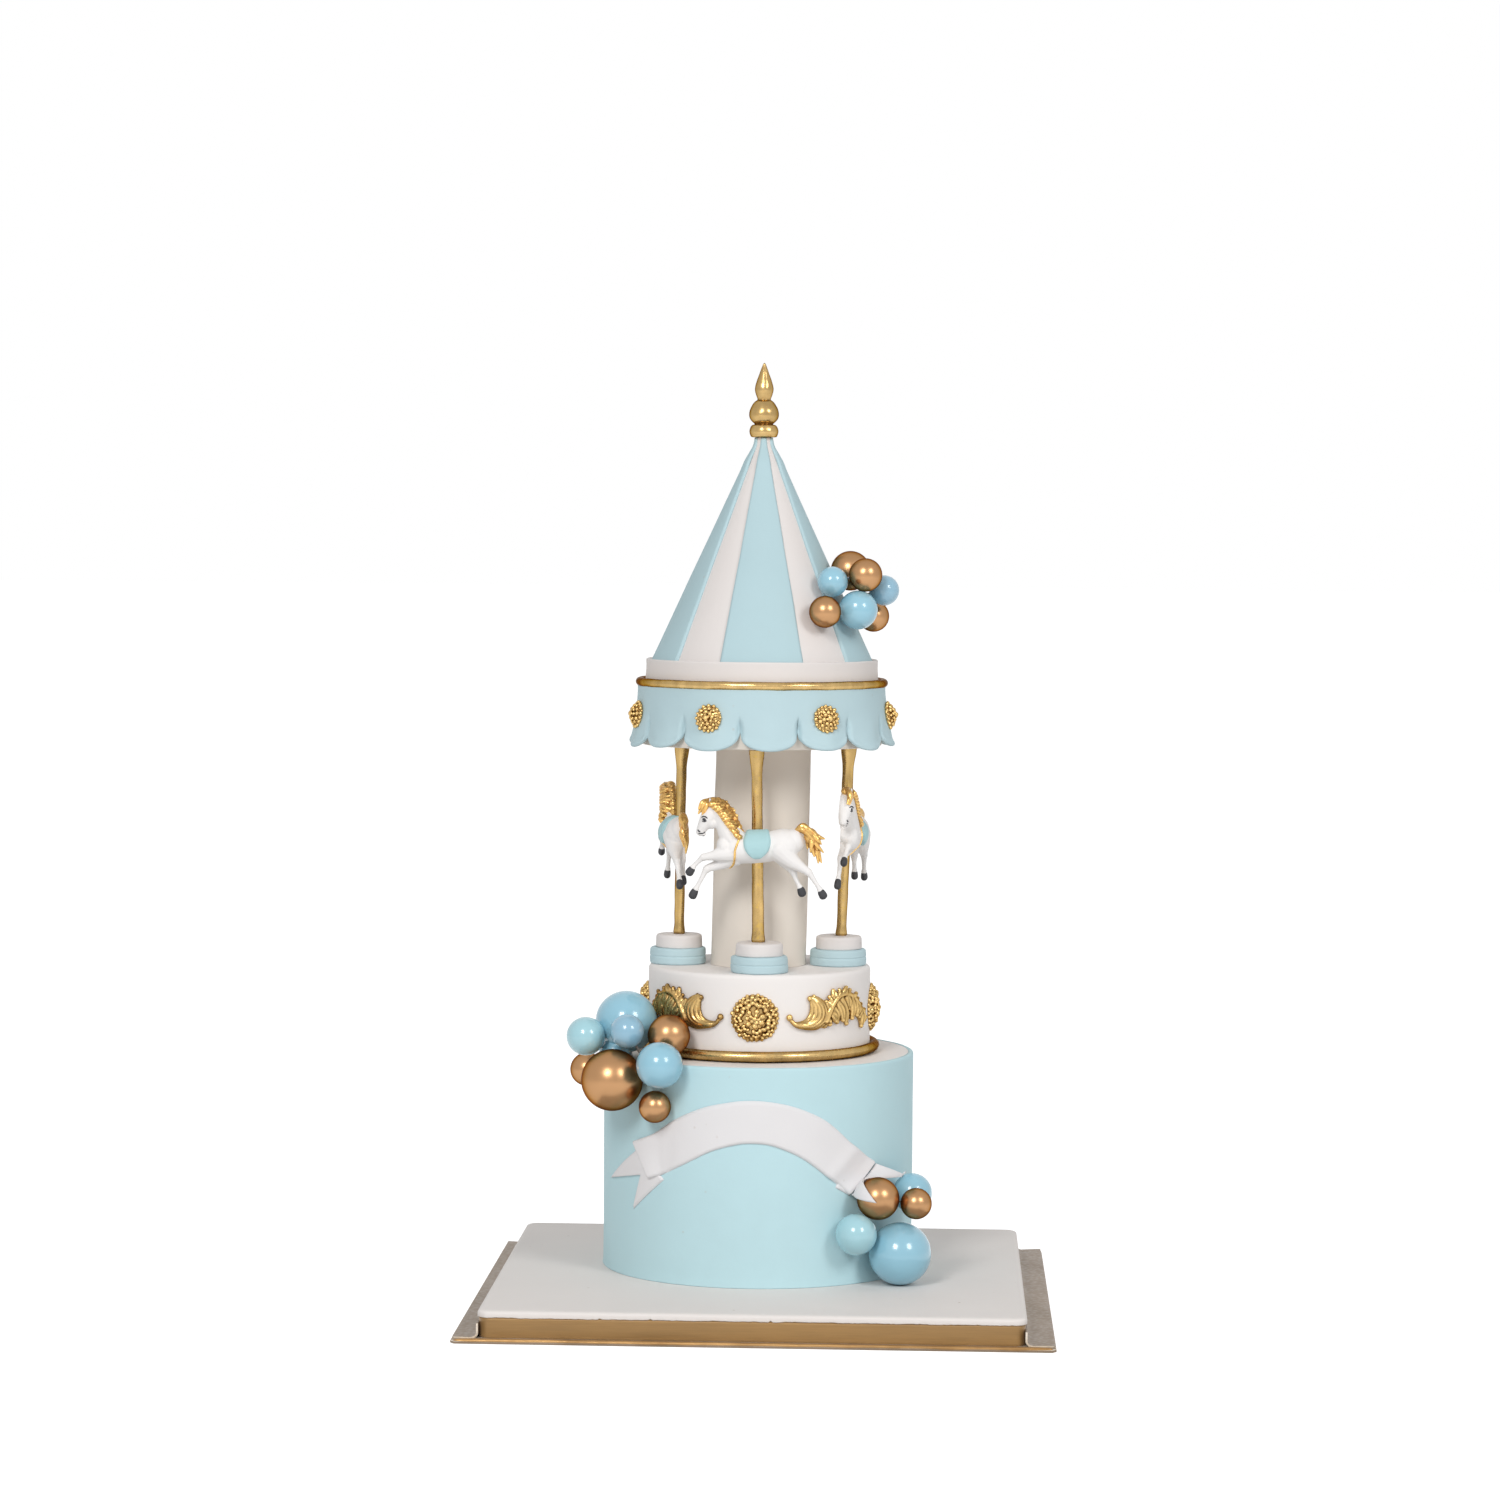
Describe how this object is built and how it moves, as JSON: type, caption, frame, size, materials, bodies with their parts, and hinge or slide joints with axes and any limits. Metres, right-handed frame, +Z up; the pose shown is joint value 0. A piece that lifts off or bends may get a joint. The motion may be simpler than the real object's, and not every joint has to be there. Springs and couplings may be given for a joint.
{
  "type": "carousel music box",
  "caption": "Tiered roundabout ornament on a board: horses under a striped cone canopy turn on a drum that hides a wind-up pinned-cylinder movement.",
  "frame": {"origin": "where the turning axis of the roundabout meets the plane that the tray rests on", "axes": "+Z up along the turning axis, -Y towards the front of the banner, +X to the right seen from the front"},
  "size_m": [0.338, 0.331, 0.553],
  "materials": {
    "tray_card": "bronze-coloured metallic foil card, satin",
    "board": "pressed fibre board, matt",
    "board_paste": "rolled sugar paste, matt",
    "ribbon": "satin ribbon",
    "foam": "expanded foam, matt",
    "blue_paste": "rolled sugar paste, matt",
    "white_paste": "rolled sugar paste, matt",
    "ball_blue": "pearl gloss",
    "ball_gold": "copper-gold pearl gloss",
    "gold_paint": "hand-brushed metallic gold paint",
    "brass": "machined",
    "steel": "machined",
    "wood": "plain beech",
    "horse_white": "moulded sugar paste, matt"
  },
  "bodies": {
    "base": {"card_tray": "tray_card", "base_board": "board", "board_paste": "board_paste", "board_ribbon": "ribbon", "drum_former": "foam", "drum_paste": "blue_paste", "drum_lid": "board", "lid_paste": "white_paste", "banner": "white_paste", "drum_balls_blue": "ball_blue", "drum_balls_gold": "ball_gold", "drum_ball_picks": "steel", "bedplate": "brass", "movement_screws": "steel", "stem_bush": "brass", "spring_housing": "brass", "spring_cover": "brass", "housing_posts": "steel", "mainspring": "steel", "arbor_bracket": "brass", "governor_frame": "brass", "comb": "steel", "comb_block": "brass"},
    "cylinder": {"cylinder": "brass", "cylinder_arbor": "steel", "cylinder_wheel": "brass"},
    "governor": {"governor_wheel": "brass"},
    "fly": {"fly": "steel"},
    "carousel": {"winding_stem": "steel", "great_wheel": "brass", "click": "steel", "drive_flange": "brass", "flange_screws": "steel", "platform_board": "board", "platform_former": "foam", "platform_paste": "white_paste", "platform_ring": "gold_paint", "platform_rosettes": "gold_paint", "platform_scrolls": "gold_paint", "centre_dowel": "wood", "column": "white_paste", "pedestal_bases": "blue_paste", "pedestal_caps": "white_paste", "poles": "gold_paint", "horse_front": "horse_white", "horse_left": "horse_white", "horse_right": "horse_white", "saddles": "blue_paste", "canopy_core": "white_paste", "canopy_band": "white_paste", "canopy_ring": "gold_paint", "valance": "blue_paste", "valance_rosettes": "gold_paint", "cone_core": "white_paste", "cone_stripes": "blue_paste", "finial": "gold_paint", "canopy_balls_blue": "ball_blue", "canopy_balls_gold": "ball_gold", "canopy_ball_picks": "steel"}
  },
  "joints": [
    {"name": "carousel_turn", "type": "hinge", "parent": "base", "child": "carousel", "pos_m": [0, 0, 0.15], "axis": [0, 0, 1], "continuous": true},
    {"name": "cylinder_turn", "type": "hinge", "parent": "base", "child": "cylinder", "pos_m": [0.035, 0, 0.12712], "axis": [1, 0, 0], "continuous": true},
    {"name": "governor_turn", "type": "hinge", "parent": "base", "child": "governor", "pos_m": [0.045, -0.00999, 0.12388], "axis": [1, 0, 0], "continuous": true},
    {"name": "fly_turn", "type": "hinge", "parent": "base", "child": "fly", "pos_m": [0.045, -0.01868, 0.12155], "axis": [1, 0, 0], "continuous": true}
  ],
  "couplings": [
    {"joint": "cylinder_turn", "follows": "carousel_turn", "ratio": -4},
    {"joint": "governor_turn", "follows": "carousel_turn", "ratio": 24},
    {"joint": "fly_turn", "follows": "carousel_turn", "ratio": -120}
  ]
}
